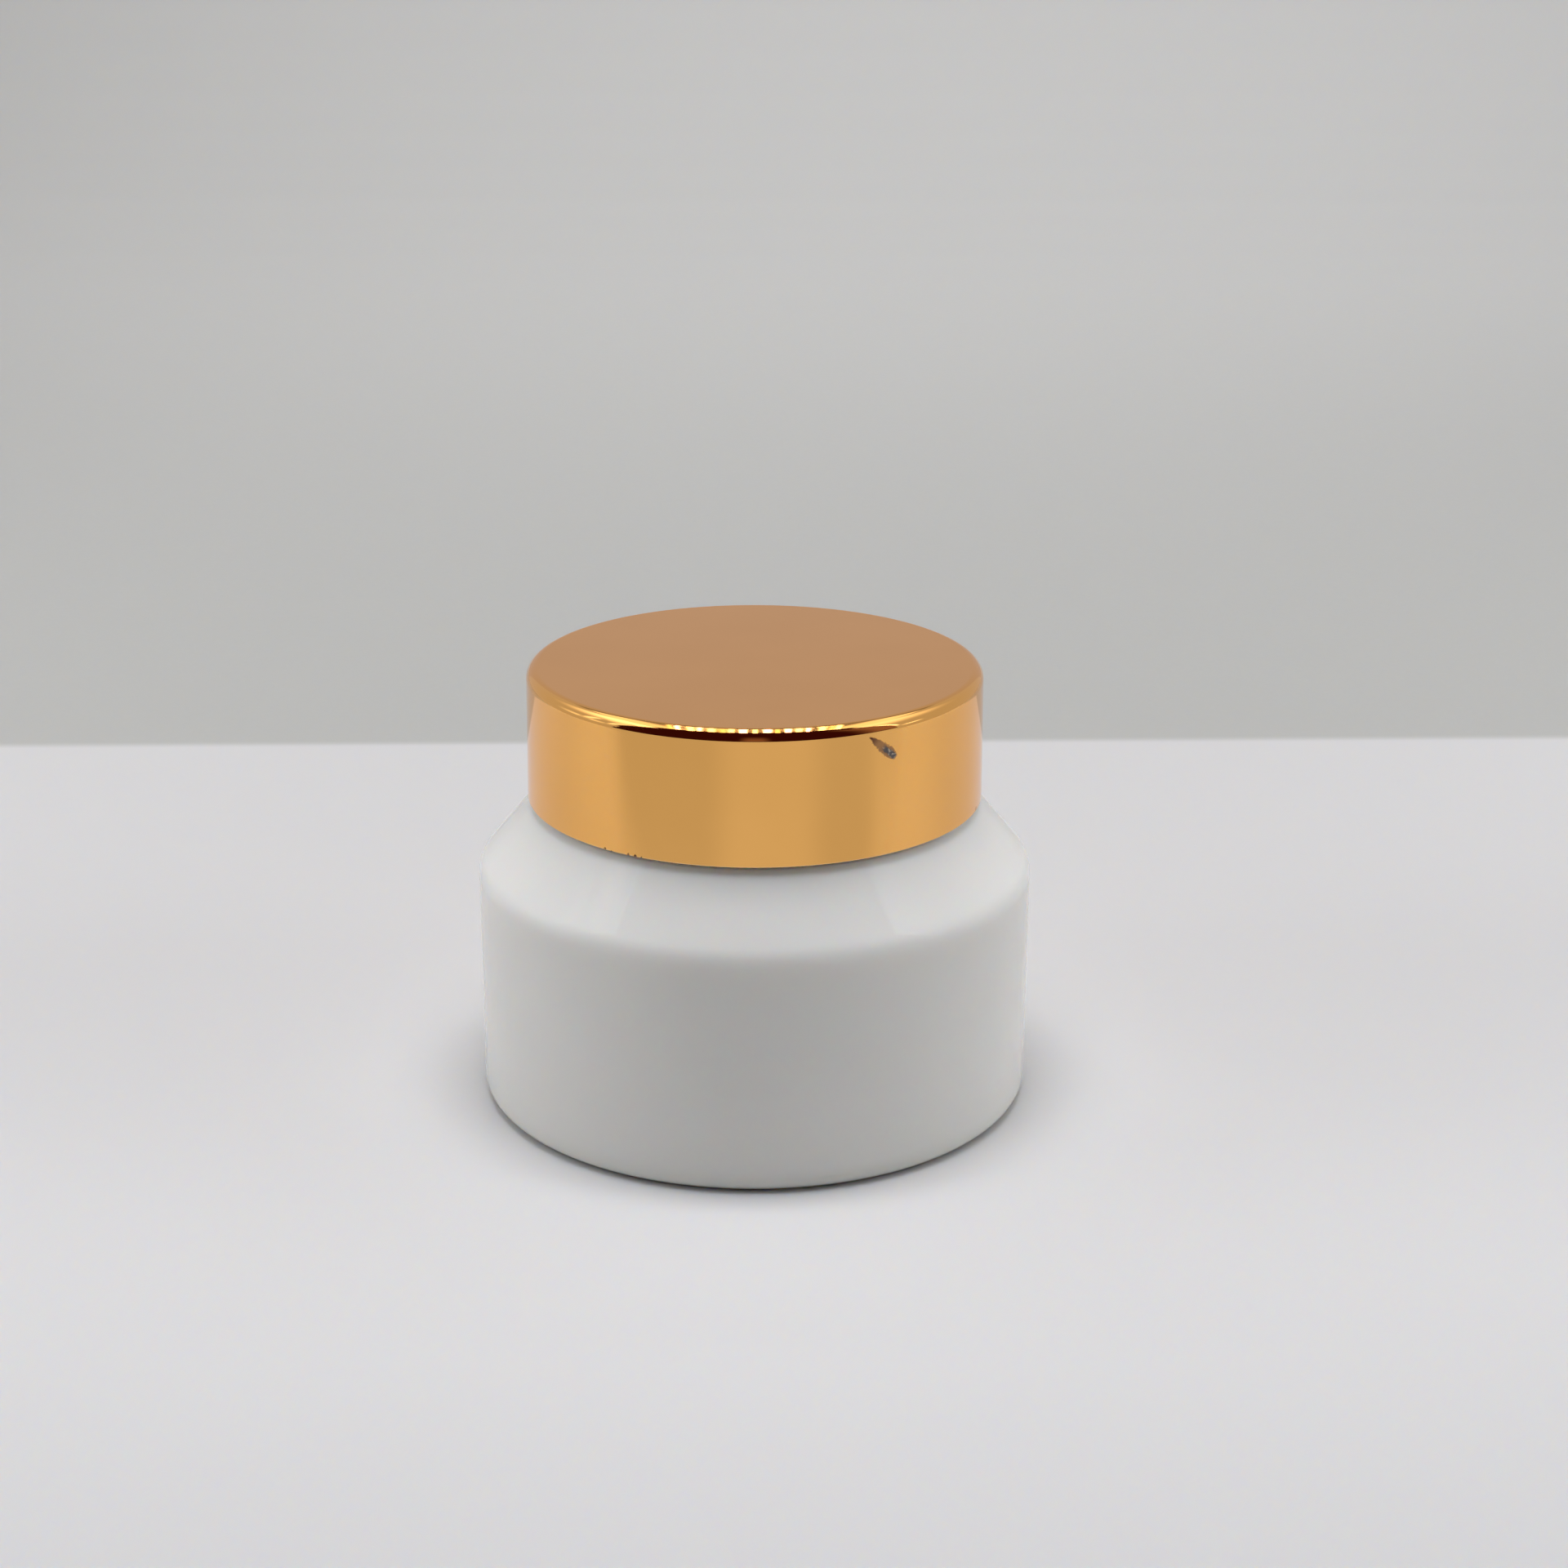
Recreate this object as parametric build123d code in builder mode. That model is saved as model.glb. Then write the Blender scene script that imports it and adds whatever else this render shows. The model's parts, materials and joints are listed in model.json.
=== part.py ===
from build123d import *
import os
from math import cos, radians, sin, tan

# Round cosmetic cream jar: an opal glass jar, a press-in sealing disc with a pull tab, and a screw
# lid made of a foam liner, a threaded plastic inner cap and a drawn aluminium shell.
# Millimetres, +Z up, origin at the centre of the base on the surface that the jar stands on.

# Glass jar
body_radius = 31.0
shoulder_height = 26.9      # where the wall and the sloping shoulder would meet if it were sharp
shoulder_slope = 49.5       # degrees above horizontal
shoulder_rounding = 3.0
ledge_height = 34.4         # flat ring at the foot of the neck
ledge_rounding = 0.5
heel_rounding = 1.8
bearing_radius = 26.0       # inner edge of the ring that the jar stands on
push_up_radius = 24.0
push_up_height = 0.9
push_up_rounding = 1.5
bearing_rounding = 0.8
neck_radius = 22.4
neck_root_rounding = 0.6
mouth_height = 45.9
mouth_radius = 20.0
lip_outer_rounding = 0.8
lip_inner_rounding = 0.6
cavity_radius = 23.8
cavity_floor = 8.0
cavity_floor_rounding = 5.0
cavity_shoulder_height = 27.6
cavity_shoulder_rounding = 4.0
neck_bore_foot = 34.8
neck_bore_rounding = 3.0

# Screw thread, single start, right-handed, six turns to the inch
thread_pitch = 25.4 / 6
thread_turns = 1.25
thread_embed = 0.3          # how far a rib's root reaches into its wall
thread_step = 15            # degrees between the sections of a rib
thread_fade = 45            # degrees over which a rib runs out into its wall
neck_thread_radius = 23.5
neck_thread_root_width = 2.4
neck_thread_crest_width = 1.2
neck_thread_start = 37.6
cap_thread_radius = 22.65
cap_thread_root_width = 1.9
cap_thread_crest_width = 0.8
cap_thread_start = 37.0
thread_flank_gap = 1.58     # height from the cap's rib up to the neck's rib that it pulls against

# Sealing disc
flange_radius = 21.9
flange_thickness = 0.75
plug_radius = 19.85
plug_foot = 42.9
plug_inner_radius = 18.7
dish_radius = 18.9
dish_depth = 1.45
web_thickness = 0.8
boss_length = 1.6
boss_height = 0.7
boss_rounding = 0.5
disc_edge_rounding = 0.25
plug_lead_in = 0.5         # rounding that guides the plug into the mouth

# Pull tab, folded flat in the dish
tab_hinge_x = -5.7
tab_width = 9.0
tab_reach = 11.0            # from the hinge line to the tip
tab_thickness = 0.7
tab_gap = 0.1
grip_bars = 3
grip_bar_width = 0.6
grip_bar_length = 5.4
grip_bar_rounding = 0.25
grip_bar_height = 0.25
grip_bar_spacing = 1.6

# Lid
liner_radius = 23.3
liner_thickness = 1.2
cap_inner_radius = 23.7
cap_outer_radius = 24.5
cap_plate_thickness = 1.2
cap_skirt_foot = 35.4
cap_corner_rounding = 1.0
cap_edge_rounding = 0.2
crush_ribs = 24
crush_rib_width = 1.2
crush_rib_radius = 24.8
crush_rib_root = 24.2       # the ribs start inside the skirt's wall
crush_rib_foot = 36.4
crush_rib_top = 47.6
shell_top_radius = 25.2
shell_foot_radius = 25.35
shell_foot = 34.7
shell_thickness = 0.45
shell_corner_rounding = 1.3
shell_edge_rounding = 0.12

# Stack of parts on the mouth, from the disc's flange up to the lid's top
flange_top = mouth_height + flange_thickness
liner_top = flange_top + liner_thickness
cap_top = liner_top + cap_plate_thickness
shell_top = cap_top + shell_thickness


def profile(corners):
    """Closed outline in the XZ plane. Each corner is (radius, height, rounding)."""
    with BuildSketch(Plane.XZ) as outline:
        with BuildLine():
            Polyline(*[(radius, height) for radius, height, rounding in corners], close=True)
        make_face()
        for radius, height, rounding in corners:
            if rounding:
                fillet(outline.vertices().sort_by_distance((radius, height))[0], rounding)
    return outline.sketch


def thread_rib(wall_radius, crest_radius, root_width, crest_width, start_height, start_angle):
    """Helical rib on a round wall. It rises out of the wall and sinks back into it at its ends."""
    outward = 1 if crest_radius > wall_radius else -1
    root_radius = wall_radius - outward * thread_embed
    hidden_radius = wall_radius - outward * thread_embed / 2
    steps = round(360 * thread_turns / thread_step)
    with BuildPart() as rib:
        for step in range(steps + 1):
            turned = step * thread_step
            angle = radians(start_angle + turned)
            height = start_height + thread_pitch * turned / 360
            rise = min(1.0, turned / thread_fade, (steps * thread_step - turned) / thread_fade)
            crest = hidden_radius + (crest_radius - hidden_radius) * rise
            section = Plane(
                origin=(0, 0, height),
                x_dir=(cos(angle), sin(angle), 0),
                z_dir=(sin(angle), -cos(angle), 0),
            )
            with BuildSketch(section):
                with BuildLine():
                    Polyline(
                        (root_radius, -root_width / 2),
                        (crest, -crest_width / 2),
                        (crest, crest_width / 2),
                        (root_radius, root_width / 2),
                        close=True,
                    )
                make_face()
        loft()
    return rib.part


# Where the shoulder's slope reaches the ledge
ledge_radius = body_radius - (ledge_height - shoulder_height) / tan(radians(shoulder_slope))

neck_rib = thread_rib(
    neck_radius,
    neck_thread_radius,
    neck_thread_root_width,
    neck_thread_crest_width,
    neck_thread_start,
    0,
)

with BuildPart() as glass_jar:
    revolve(
        profile(
            [
                (0, push_up_height, 0),
                (push_up_radius, push_up_height, push_up_rounding),
                (bearing_radius, 0, bearing_rounding),
                (body_radius, 0, heel_rounding),
                (body_radius, shoulder_height, shoulder_rounding),
                (ledge_radius, ledge_height, ledge_rounding),
                (neck_radius, ledge_height, neck_root_rounding),
                (neck_radius, mouth_height, lip_outer_rounding),
                (mouth_radius, mouth_height, lip_inner_rounding),
                (mouth_radius, neck_bore_foot, neck_bore_rounding),
                (cavity_radius, cavity_shoulder_height, cavity_shoulder_rounding),
                (cavity_radius, cavity_floor, cavity_floor_rounding),
                (0, cavity_floor, 0),
            ]
        ),
        axis=Axis.Z,
    )
    add(neck_rib)

# Sealing disc: a flange that rests on the lip, a plug that fits the mouth, and a sunk dish with a
# low boss that carries the pull tab's hinge.
dish_floor = flange_top - dish_depth
boss_x = tab_hinge_x - tab_thickness / 2 - tab_gap - boss_length / 2

with BuildPart() as sealing_disc:
    revolve(
        profile(
            [
                (0, dish_floor - web_thickness, 0),
                (plug_inner_radius, dish_floor - web_thickness, disc_edge_rounding),
                (plug_inner_radius, plug_foot, disc_edge_rounding),
                (plug_radius, plug_foot, plug_lead_in),
                (plug_radius, mouth_height, 0),
                (flange_radius, mouth_height, disc_edge_rounding),
                (flange_radius, flange_top, disc_edge_rounding),
                (dish_radius, flange_top, disc_edge_rounding),
                (dish_radius, dish_floor, disc_edge_rounding),
                (0, dish_floor, 0),
            ]
        ),
        axis=Axis.Z,
    )
    with BuildSketch(Plane.XY.offset(dish_floor)):
        with Locations((boss_x, 0)):
            RectangleRounded(boss_length, tab_width, boss_rounding)
    extrude(amount=boss_height)

# Pull tab: a tongue with a round tip, a round root on the hinge line and raised grip bars
tab_bottom = dish_floor + tab_gap
tab_top = tab_bottom + tab_thickness
tab_straight = tab_reach - tab_width / 2
grip_centre_x = tab_hinge_x + tab_straight

with BuildPart() as disc_pull_tab:
    with BuildSketch(Plane.XY.offset(tab_bottom)):
        with Locations((tab_hinge_x + tab_straight / 2, 0)):
            Rectangle(tab_straight, tab_width)
        with Locations((grip_centre_x, 0)):
            Circle(tab_width / 2)
    extrude(amount=tab_thickness)
    with Locations((tab_hinge_x, 0, tab_bottom + tab_thickness / 2)):
        Cylinder(tab_thickness / 2, tab_width, rotation=(90, 0, 0))
    with BuildSketch(Plane.XY.offset(tab_top)):
        with Locations((grip_centre_x, 0)):
            with GridLocations(grip_bar_spacing, 0, grip_bars, 1):
                RectangleRounded(grip_bar_width, grip_bar_length, grip_bar_rounding)
    extrude(amount=grip_bar_height)

# Foam liner: a die-cut round that lies loose under the inner cap's top plate
with BuildPart() as cap_liner:
    with BuildSketch(Plane.XY.offset(flange_top)):
        Circle(liner_radius)
    extrude(amount=liner_thickness)

# Inner cap: the threaded plastic cap inside the shell, with crush ribs that grip the shell
cap_rib_angle = 360 * (cap_thread_start + thread_flank_gap - neck_thread_start) / thread_pitch

cap_rib = thread_rib(
    cap_inner_radius,
    cap_thread_radius,
    cap_thread_root_width,
    cap_thread_crest_width,
    cap_thread_start,
    cap_rib_angle,
)

with BuildPart() as inner_cap:
    revolve(
        profile(
            [
                (0, liner_top, 0),
                (cap_inner_radius, liner_top, cap_edge_rounding),
                (cap_inner_radius, cap_skirt_foot, cap_edge_rounding),
                (cap_outer_radius, cap_skirt_foot, cap_edge_rounding),
                (cap_outer_radius, cap_top, cap_corner_rounding),
                (0, cap_top, 0),
            ]
        ),
        axis=Axis.Z,
    )
    add(cap_rib)
    with BuildSketch(Plane.XY.offset(crush_rib_foot)):
        with PolarLocations((crush_rib_root + crush_rib_radius) / 2, crush_ribs):
            Rectangle(crush_rib_radius - crush_rib_root, crush_rib_width)
    extrude(amount=crush_rib_top - crush_rib_foot)

# Outer shell: drawn aluminium, anodised gold, with a small round at its top and a plain cut edge
with BuildPart() as outer_shell:
    revolve(
        profile(
            [
                (0, cap_top, 0),
                (shell_top_radius - shell_thickness, cap_top, shell_corner_rounding - shell_thickness),
                (shell_foot_radius - shell_thickness, shell_foot, shell_edge_rounding),
                (shell_foot_radius, shell_foot, shell_edge_rounding),
                (shell_top_radius, shell_top, shell_corner_rounding),
                (0, shell_top, 0),
            ]
        ),
        axis=Axis.Z,
    )

pieces = {
    "glass_jar": glass_jar,
    "sealing_disc": sealing_disc,
    "disc_pull_tab": disc_pull_tab,
    "cap_liner": cap_liner,
    "inner_cap": inner_cap,
    "outer_shell": outer_shell,
}

os.makedirs("parts", exist_ok=True)
for name, piece in pieces.items():
    piece.part.label = name
    export_step(piece.part, f"parts/{name}.step")
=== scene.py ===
import json
import math

import bmesh
import bpy
from mathutils import Matrix, Vector


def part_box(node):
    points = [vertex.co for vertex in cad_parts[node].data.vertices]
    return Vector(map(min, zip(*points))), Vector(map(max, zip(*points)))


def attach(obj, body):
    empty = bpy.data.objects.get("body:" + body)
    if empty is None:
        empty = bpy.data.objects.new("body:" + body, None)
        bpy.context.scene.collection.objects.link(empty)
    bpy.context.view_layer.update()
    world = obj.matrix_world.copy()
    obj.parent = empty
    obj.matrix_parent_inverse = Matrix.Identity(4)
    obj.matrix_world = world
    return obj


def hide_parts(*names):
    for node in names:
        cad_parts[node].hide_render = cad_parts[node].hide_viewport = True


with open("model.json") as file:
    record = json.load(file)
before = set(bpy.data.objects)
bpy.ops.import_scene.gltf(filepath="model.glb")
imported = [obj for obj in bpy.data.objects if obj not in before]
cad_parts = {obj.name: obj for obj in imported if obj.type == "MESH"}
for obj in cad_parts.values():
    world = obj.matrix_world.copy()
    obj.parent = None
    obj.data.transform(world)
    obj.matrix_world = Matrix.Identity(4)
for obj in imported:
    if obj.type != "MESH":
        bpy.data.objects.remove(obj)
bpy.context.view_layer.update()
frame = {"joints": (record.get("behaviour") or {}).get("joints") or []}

# Round cosmetic cream jar, closed: white opal glass under a wide lid of bright gold aluminium.
# Outlines are written in millimetres, as a drawing would be, and MM turns them into metres. The
# stage, its lamps and the camera are placed in metres.

MM = 0.001


def box_mm(node):
    """Lowest and highest corner of a CAD node, in millimetres."""
    low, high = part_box(node)
    return low / MM, high / MM


# ---------------------------------------------------------------- sizes taken from the frame
_, jar_high = box_mm("glass_jar")
disc_low, disc_high = box_mm("sealing_disc")
tab_low, tab_high = box_mm("disc_pull_tab")
_, liner_high = box_mm("cap_liner")
cap_low, cap_high = box_mm("inner_cap")
shell_low, shell_high = box_mm("outer_shell")

body_radius = jar_high.x
mouth_height = jar_high.z
flange_radius = disc_high.x
flange_top = disc_high.z
plug_foot = disc_low.z
liner_radius = liner_high.x
liner_top = liner_high.z
cap_foot = cap_low.z
cap_top = cap_high.z
crush_rib_radius = cap_high.x
shell_foot = shell_low.z
shell_top = shell_high.z

# ---------------------------------------------------------------- sizes of the details
shoulder_height = 26.9
shoulder_rounding = 3.0
ledge_radius = 24.6
ledge_height = 34.4
ledge_rounding = 0.5
heel_rounding = 1.8
bearing_radius = 26.0
bearing_rounding = 0.8
push_up_radius = 24.0
push_up_height = 0.9
push_up_rounding = 1.5
neck_radius = 22.4
neck_root_rounding = 0.6
mouth_radius = 20.0
lip_outer_rounding = 0.8
lip_inner_rounding = 0.6
cavity_radius = 23.8
cavity_floor = 8.0
cavity_floor_rounding = 5.0
cavity_shoulder_height = 27.6
cavity_shoulder_rounding = 4.0
neck_bore_foot = 34.8
neck_bore_rounding = 3.0

thread_pitch = 25.4 / 6
thread_turns = 1.25
thread_fade = math.radians(45)
neck_thread_depth = 1.1
neck_thread_root = 2.4
neck_thread_crest = 1.2
neck_thread_start = 37.6
cap_thread_depth = 1.05
cap_thread_root = 1.9
cap_thread_crest = 0.8
cap_thread_start = 37.0
cap_thread_angle = math.radians(83.3)

plug_radius = 19.85
plug_inner_radius = 18.7
dish_radius = 18.9
dish_floor = 45.2
web_thickness = 0.8
disc_edge_rounding = 0.25
plug_lead_in = 0.5

cap_inner_radius = 23.7
cap_outer_radius = 24.5
cap_edge_rounding = 0.2
cap_corner_rounding = 1.0
crush_ribs = 24
crush_rib_foot = 36.4
crush_rib_top = 47.6

shell_top_radius = 25.2
shell_foot_radius = 25.35
shell_thickness = 0.45
shell_corner_rounding = 1.3
shell_edge_rounding = 0.12

tab_thickness = 0.7
tab_gap = 0.1               # under the tab, and between its hinge and the boss
tab_edge_rounding = 0.15
grip_bar_width = 0.6
grip_bar_length = 5.4
grip_bar_spacing = 1.6
boss_length = 1.6
boss_height = 0.7
boss_edge_rounding = 0.2

# Finish of the meshes
FINE = 0.15                 # distance between points where a thread is formed, in millimetres
ROUND_SEGMENTS = 288
PLAIN_SEGMENTS = 192
SHARP = math.radians(40)    # edges steeper than this stay sharp
NEAR = 0.01                 # points this close to a wall's radius belong to it


# ---------------------------------------------------------------- mesh tools
def rounded(corners, arc_step=math.radians(5), brace=0.08):
    """Points along an outline of corners (radius, height, rounding), with each rounding an arc.

    A brace point just outside each arc's end keeps the smooth shading of the arc off the flat.
    """
    points = []
    for index, (radius, height, rounding) in enumerate(corners):
        corner = Vector((radius, height))
        if not rounding:
            points.append(corner)
            continue
        before = (Vector(corners[index - 1][:2]) - corner).normalized()
        after = (Vector(corners[index + 1][:2]) - corner).normalized()
        half = before.angle(after) / 2
        reach = rounding / math.tan(half)
        centre = corner + (before + after).normalized() * rounding / math.sin(half)
        first = corner + before * reach - centre
        turn = first.angle_signed(corner + after * reach - centre)
        steps = max(2, math.ceil(abs(turn) / arc_step))
        points.append(corner + before * (reach + brace))
        for step in range(steps + 1):
            points.append(centre + Matrix.Rotation(-turn * step / steps, 2) @ first)
        points.append(corner + after * (reach + brace))
    return points


def refined(points, spacing, chosen=lambda point: True):
    """The same outline with its long runs divided, where both ends of a run are chosen."""
    finer = [points[0]]
    for start, end in zip(points, points[1:]):
        pieces = 1
        if chosen(start) and chosen(end):
            pieces = max(1, math.ceil((end - start).length / spacing))
        for piece in range(1, pieces + 1):
            finer.append(start.lerp(end, piece / pieces))
    return finer


def lathe(name, points, segments, shape=None):
    """Turns an outline that starts and ends on the axis about +Z.

    shape(angle, radius, height) may return a new radius and height for a point of the surface.
    """
    verts, faces = [], []
    rings = []
    for radius, height in points:
        if radius < 1e-6:
            rings.append([len(verts)])
            verts.append((0, 0, height * MM))
            continue
        rings.append(list(range(len(verts), len(verts) + segments)))
        for segment in range(segments):
            angle = 2 * math.pi * segment / segments
            r, z = shape(angle, radius, height) if shape else (radius, height)
            verts.append((r * math.cos(angle) * MM, r * math.sin(angle) * MM, z * MM))
    for lower, upper in zip(rings, rings[1:]):
        for segment in range(segments):
            after = (segment + 1) % segments
            if len(lower) == 1:
                faces.append((lower[0], upper[after], upper[segment]))
            elif len(upper) == 1:
                faces.append((lower[segment], lower[after], upper[0]))
            else:
                faces.append((lower[segment], lower[after], upper[after], upper[segment]))
    return object_from(name, verts, faces)


def object_from(name, verts, faces):
    mesh = bpy.data.meshes.new(name)
    mesh.from_pydata(verts, [], faces)
    mesh.validate()
    return placed(name, mesh)


def placed(name, mesh):
    """Puts a mesh in the scene, smooth except at its sharp edges."""
    mesh.shade_smooth()
    mesh.set_sharp_from_angle(angle=SHARP)
    made = bpy.data.objects.new(name, mesh)
    bpy.context.scene.collection.objects.link(made)
    return made


def smooth(low, high, value):
    share = min(1.0, max(0.0, (value - low) / (high - low)))
    return share * share * (3 - 2 * share)


def thread_height(angle, height, start_angle, start_height, root, crest):
    """How far a helical rib stands out at a point of its wall, from 0 to 1."""
    whole = 2 * math.pi * thread_turns
    tallest = 0.0
    turned = (angle - start_angle) % (2 * math.pi)
    while turned <= whole:
        centre = start_height + thread_pitch * turned / (2 * math.pi)
        off = abs(height - centre)
        across = 1 - smooth(crest / 2, root / 2, off)
        along = smooth(0, thread_fade, min(turned, whole - turned))
        tallest = max(tallest, across * along)
        turned += 2 * math.pi
    return tallest


def wear(piece, body, node, made):
    """Gives a piece its material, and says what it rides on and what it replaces."""
    piece.data.materials.append(made)
    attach(piece, body)
    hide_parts(node)


# ---------------------------------------------------------------- node tools
def new_material(name):
    made = bpy.data.materials.new(name)
    made.use_nodes = True
    return made, made.node_tree, made.node_tree.nodes["Principled BSDF"]


def place(tree):
    """The piece's own coordinates, in metres."""
    return tree.nodes.new("ShaderNodeTexCoord").outputs["Object"]


def noise(tree, where, scale, detail=3.0, roughness=0.5):
    made = tree.nodes.new("ShaderNodeTexNoise")
    made.inputs["Scale"].default_value = scale
    made.inputs["Detail"].default_value = detail
    made.inputs["Roughness"].default_value = roughness
    tree.links.new(where, made.inputs["Vector"])
    return made.outputs["Fac"]


def separated(tree, where):
    """The X, Y and Z of a point."""
    made = tree.nodes.new("ShaderNodeSeparateXYZ")
    tree.links.new(where, made.inputs[0])
    return made.outputs


def maths(tree, operation, *values):
    """A Math node whose inputs are numbers or sockets."""
    made = tree.nodes.new("ShaderNodeMath")
    made.operation = operation
    for socket, value in zip(made.inputs, values):
        if isinstance(value, (int, float)):
            socket.default_value = value
        else:
            tree.links.new(value, socket)
    return made.outputs[0]


def spread(tree, value, low, high, to_low=0.0, to_high=1.0):
    """Maps a value smoothly from low..high to to_low..to_high."""
    made = tree.nodes.new("ShaderNodeMapRange")
    made.interpolation_type = "SMOOTHSTEP"
    tree.links.new(value, made.inputs["Value"])
    made.inputs["From Min"].default_value = low
    made.inputs["From Max"].default_value = high
    made.inputs["To Min"].default_value = to_low
    made.inputs["To Max"].default_value = to_high
    return made.outputs["Result"]


def blend_colours(tree, share, first, second):
    """Blends two colours, which are tuples or sockets, by a share from 0 to 1."""
    made = tree.nodes.new("ShaderNodeMix")
    made.data_type = "RGBA"
    tree.links.new(share, made.inputs["Factor"])
    ends = [socket for socket in made.inputs if socket.type == "RGBA"]
    for socket, value in zip(ends, (first, second)):
        if isinstance(value, tuple):
            socket.default_value = (*value, 1)
        else:
            tree.links.new(value, socket)
    return [socket for socket in made.outputs if socket.type == "RGBA"][0]


def largest(tree, values):
    result = values[0]
    for value in values[1:]:
        result = maths(tree, "MAXIMUM", result, value)
    return result


def bump(tree, shader, *layers):
    """Stacks layers (height, distance in metres) into the shader's normal."""
    normal = None
    for height, distance in layers:
        made = tree.nodes.new("ShaderNodeBump")
        made.inputs["Distance"].default_value = distance
        tree.links.new(height, made.inputs["Height"])
        if normal is not None:
            tree.links.new(normal, made.inputs["Normal"])
        normal = made.outputs["Normal"]
    tree.links.new(normal, shader.inputs["Normal"])


# ---------------------------------------------------------------- materials
# The shoulder's colours are lighter than the wall's: painted light on the upward-facing shoulder.
OPAL_WALL = ((0.865, 0.86, 0.83), (0.89, 0.885, 0.855))
OPAL_SHOULDER_LIT = ((0.905, 0.905, 0.895), (0.93, 0.93, 0.92))
# The heel's olive grey is painted shade where the jar stands on the table.
OPAL_HEEL_SHADE = (0.83, 0.825, 0.765)


def opal_glass():
    """White opal glass with a fire-polished surface. The shoulder is painted lighter than the wall, as
    painted light from above, and the heel darker, as painted shade where the jar stands.
    """
    made, tree, shader = new_material("opal_glass")
    where = place(tree)
    height = separated(tree, where)["Z"]
    # From 24 to 28 mm up, the wall turns to the lighter shoulder colours: painted light.
    high = spread(tree, height, 24.0 * MM, 28.0 * MM)
    tone = spread(tree, noise(tree, where, 45), 0.3, 0.7)
    wall = blend_colours(tree, tone, *OPAL_WALL)
    shoulder = blend_colours(tree, tone, *OPAL_SHOULDER_LIT)
    # Below 3 mm the wall darkens to the olive grey: painted shade near the foot.
    wall = blend_colours(tree, spread(tree, height, 3.0 * MM, 0.8 * MM), wall, OPAL_HEEL_SHADE)
    tree.links.new(blend_colours(tree, high, wall, shoulder), shader.inputs["Base Color"])
    smudges = noise(tree, where, 160, 4)
    tree.links.new(spread(tree, smudges, 0.35, 0.75, 0.03, 0.07), shader.inputs["Roughness"])
    shader.inputs["IOR"].default_value = 1.43
    shader.inputs["Subsurface Weight"].default_value = 0.8
    shader.inputs["Subsurface Radius"].default_value = (1.3, 1.0, 0.75)
    shader.inputs["Subsurface Scale"].default_value = 2.2 * MM
    bump(
        tree,
        shader,
        (noise(tree, where, 90, 2), 0.02 * MM),
        (noise(tree, where, 1400, 2), 0.001 * MM),
    )
    return made


# Marks on the lid's wall. Each is placed by its angle in degrees, from the front (-Y) towards +X,
# and its height.
SCRAPE_START = (28.0, 47.95)
SCRAPE_END = (35.6, 45.2)
SCRAPE_TIP_HALF_WIDTH = 0.10
SCRAPE_HALF_WIDTH = 0.56
SCRAPE_RAGGEDNESS = 0.5
SCRAPE_BLUR = 0.08
RIM_NICKS = (
    # angle, height, radius
    (-38.5, 34.80, 0.20),
    (-36.5, 34.75, 0.12),
    (-31.5, 34.85, 0.16),
    (-29.6, 34.80, 0.22),
    (-27.8, 34.80, 0.14),
    (73.0, 35.00, 0.25),
)

GOLD_DARK = (0.93, 0.485, 0.140)
GOLD_LIGHT = (0.96, 0.505, 0.150)
GOLD_AT_GRAZING = (1.0, 0.955, 0.97)
CUT_EDGE = (0.95, 0.62, 0.30)
RUST_DARK = (0.14, 0.04, 0.012)
RUST_LIGHT = (0.52, 0.25, 0.085)
SLATE_DARK = (0.12, 0.11, 0.11)
SLATE_LIGHT = (0.60, 0.50, 0.38)
NICK_BROWN = (0.16, 0.055, 0.02)


def on_wall(angle, height):
    """Where a point of the lid's wall lies on the unrolled wall, in metres."""
    return Vector((math.radians(angle) * shell_foot_radius, height)) * MM


def spot(tree, arc, height, angle, z, radius):
    """A soft round spot on the lid's wall."""
    centre = on_wall(angle, z)
    across = maths(tree, "SUBTRACT", arc, centre.x)
    up = maths(tree, "SUBTRACT", height, centre.y)
    squares = maths(tree, "ADD", maths(tree, "POWER", across, 2), maths(tree, "POWER", up, 2))
    return spread(tree, maths(tree, "SQRT", squares), radius * MM, radius * 0.5 * MM)


def scrape_on_wall(tree, where, arc, height):
    """The scrape's outline, its core and how far along it (0 to 1) a point of the wall lies."""
    start, end = on_wall(*SCRAPE_START), on_wall(*SCRAPE_END)
    length = (end - start).length
    run = (end - start) / length
    across = maths(tree, "SUBTRACT", arc, start.x)
    up = maths(tree, "SUBTRACT", height, start.y)
    along = maths(
        tree,
        "ADD",
        maths(tree, "MULTIPLY", across, run.x / length),
        maths(tree, "MULTIPLY", up, run.y / length),
    )
    off = maths(
        tree,
        "SUBTRACT",
        maths(tree, "MULTIPLY", across, run.y),
        maths(tree, "MULTIPLY", up, run.x),
    )
    ragged = maths(tree, "SUBTRACT", noise(tree, where, 3200, 3), 0.5)
    ragged = maths(tree, "MULTIPLY", ragged, SCRAPE_RAGGEDNESS * MM)
    off = maths(tree, "ABSOLUTE", maths(tree, "ADD", off, ragged))

    swell = spread(tree, along, -0.1, 0.6, SCRAPE_TIP_HALF_WIDTH * MM, SCRAPE_HALF_WIDTH * MM)
    half_width = maths(tree, "MULTIPLY", swell, spread(tree, along, 1.1, 0.72, 0.35, 1.0))
    past = maths(tree, "SUBTRACT", off, half_width)
    inside = spread(tree, past, SCRAPE_BLUR * MM, -SCRAPE_BLUR * MM)
    ends = maths(tree, "MULTIPLY", spread(tree, along, -0.02, 0.04), spread(tree, along, 1.02, 0.92))
    outline = maths(tree, "MULTIPLY", inside, ends)

    core = maths(tree, "MULTIPLY", spread(tree, off, 0.42 * MM, 0.2 * MM), spread(tree, along, 0.42, 0.6))
    core = maths(tree, "MULTIPLY", core, spread(tree, along, 1.02, 0.95))
    return outline, core, along


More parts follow.
